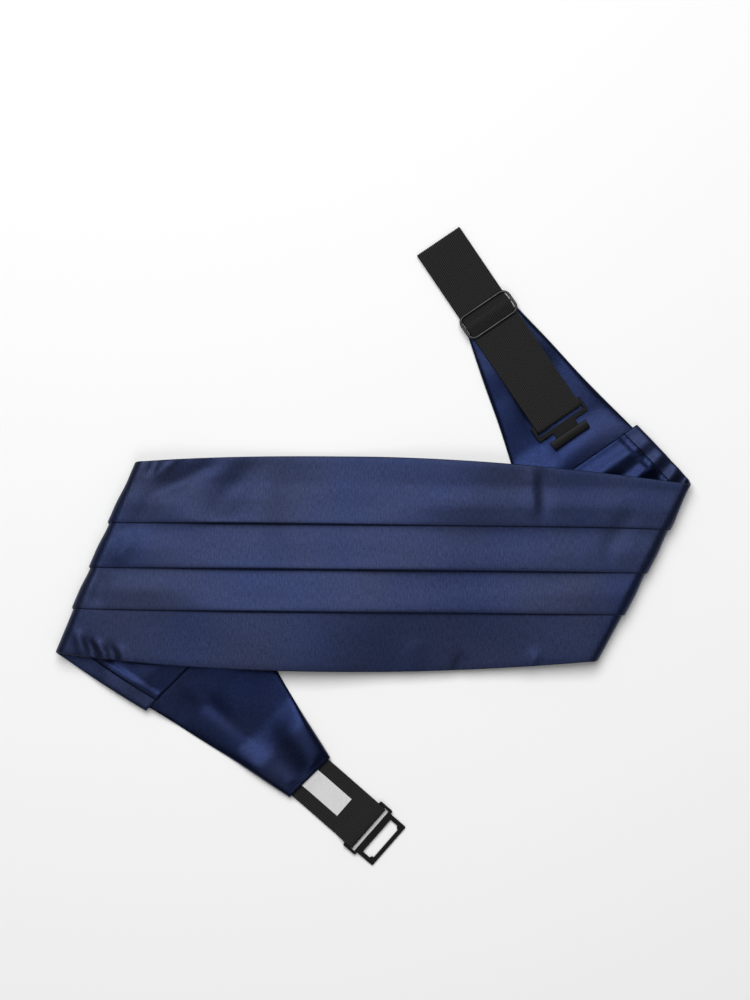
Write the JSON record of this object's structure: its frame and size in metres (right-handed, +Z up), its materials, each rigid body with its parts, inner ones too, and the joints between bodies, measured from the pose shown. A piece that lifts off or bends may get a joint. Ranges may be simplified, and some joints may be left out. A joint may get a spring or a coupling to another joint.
{
  "type": "cummerbund",
  "caption": "Pleated satin cummerbund lying unfastened, ends folded back beneath, with tapered wings, adjustable elastic straps, slider, hook and eye.",
  "frame": {"origin": "middle of the underside of the whole object's box, on the surface that it lies on", "axes": "+Z up out of the surface; +X along the pleats to the wearer's left of the front as it is seen from above; +Y toward the upper edge"},
  "size_m": [0.3712, 0.3736, 0.0162],
  "materials": {
    "navy_satin": "satin",
    "navy_lining": "satin",
    "black_elastic": "matte ribbed",
    "black_fitting": "semi-gloss",
    "dark_wire": "polished",
    "pale_weave": "matte"
  },
  "bodies": {
    "root": {"pleated_shell": "navy_satin", "lining": "navy_lining", "left_wing": "navy_lining", "right_wing": "navy_lining", "left_elastic": "black_elastic", "right_elastic": "black_elastic", "label": "pale_weave", "eye": "black_fitting", "hook": "black_fitting", "slider": "dark_wire"}
  },
  "joints": []
}
